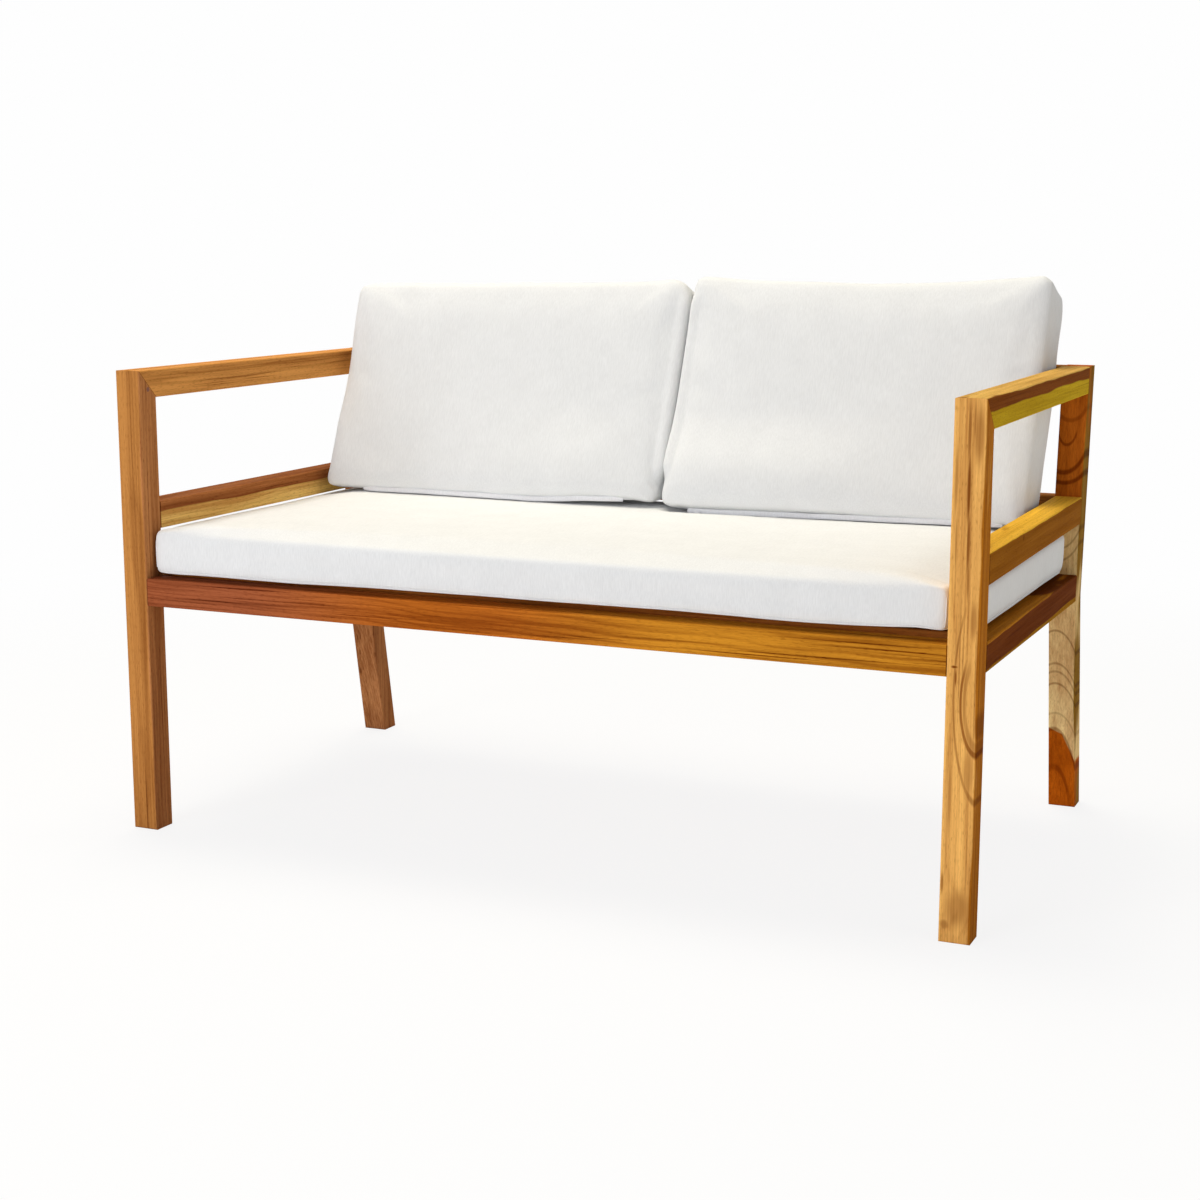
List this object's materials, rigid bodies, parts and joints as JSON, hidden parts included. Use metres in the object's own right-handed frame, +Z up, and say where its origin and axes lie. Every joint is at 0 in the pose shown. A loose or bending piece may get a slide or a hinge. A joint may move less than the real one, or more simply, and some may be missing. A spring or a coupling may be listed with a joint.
{
  "type": "patio loveseat",
  "caption": "Teak patio loveseat with square mitred arm frames, a slatted seat deck, one boxed seat cushion and leaning back cushions.",
  "frame": {"origin": "on the ground, under the middle of the bounding box", "axes": "+Z up, the seat faces -Y, +X to the right of a person who looks at its front"},
  "size_m": [1.26, 0.7129, 0.8037],
  "materials": {
    "teak": "oiled, planed, satin",
    "dowel_wood": "turned, unfinished",
    "screw_steel": "stainless, countersunk",
    "cushion_fabric": "woven outdoor cloth, matte",
    "cushion_foam": "open-cell foam"
  },
  "bodies": {
    "frame": {"arm_left": "teak", "arm_right": "teak", "back_rail_middle": "teak", "back_rail_top": "teak", "centre_bearer": "teak", "cleat_screws": "screw_steel", "front_post_left": "teak", "front_post_right": "teak", "mitre_dowels": "dowel_wood", "mitre_pins": "dowel_wood", "rear_leg_left": "teak", "rear_leg_right": "teak", "seat_back_rail": "teak", "seat_front_rail": "teak", "seat_side_rail_left": "teak", "seat_side_rail_right": "teak", "seat_slat_1": "teak", "seat_slat_2": "teak", "seat_slat_3": "teak", "seat_slat_4": "teak", "seat_slat_5": "teak", "seat_slat_6": "teak", "side_rail_left": "teak", "side_rail_right": "teak", "slat_cleat_left": "teak", "slat_cleat_right": "teak", "slat_screws": "screw_steel"},
    "seat_cushion": {"seat_cushion_cover": "cushion_fabric", "seat_cushion_core": "cushion_foam"},
    "back_cushion_left": {"back_cushion_cover_left": "cushion_fabric", "back_cushion_core_left": "cushion_foam"},
    "back_cushion_right": {"back_cushion_cover_right": "cushion_fabric", "back_cushion_core_right": "cushion_foam"}
  },
  "joints": [
    {"name": "seat_cushion_lift", "type": "slide", "parent": "frame", "child": "seat_cushion", "axis": [0, 0, 1], "range_m": [0, 0.15]},
    {"name": "back_cushion_left_lift", "type": "slide", "parent": "seat_cushion", "child": "back_cushion_left", "axis": [0, 0, 1], "range_m": [0, 0.2]},
    {"name": "back_cushion_right_lift", "type": "slide", "parent": "seat_cushion", "child": "back_cushion_right", "axis": [0, 0, 1], "range_m": [0, 0.2]}
  ]
}
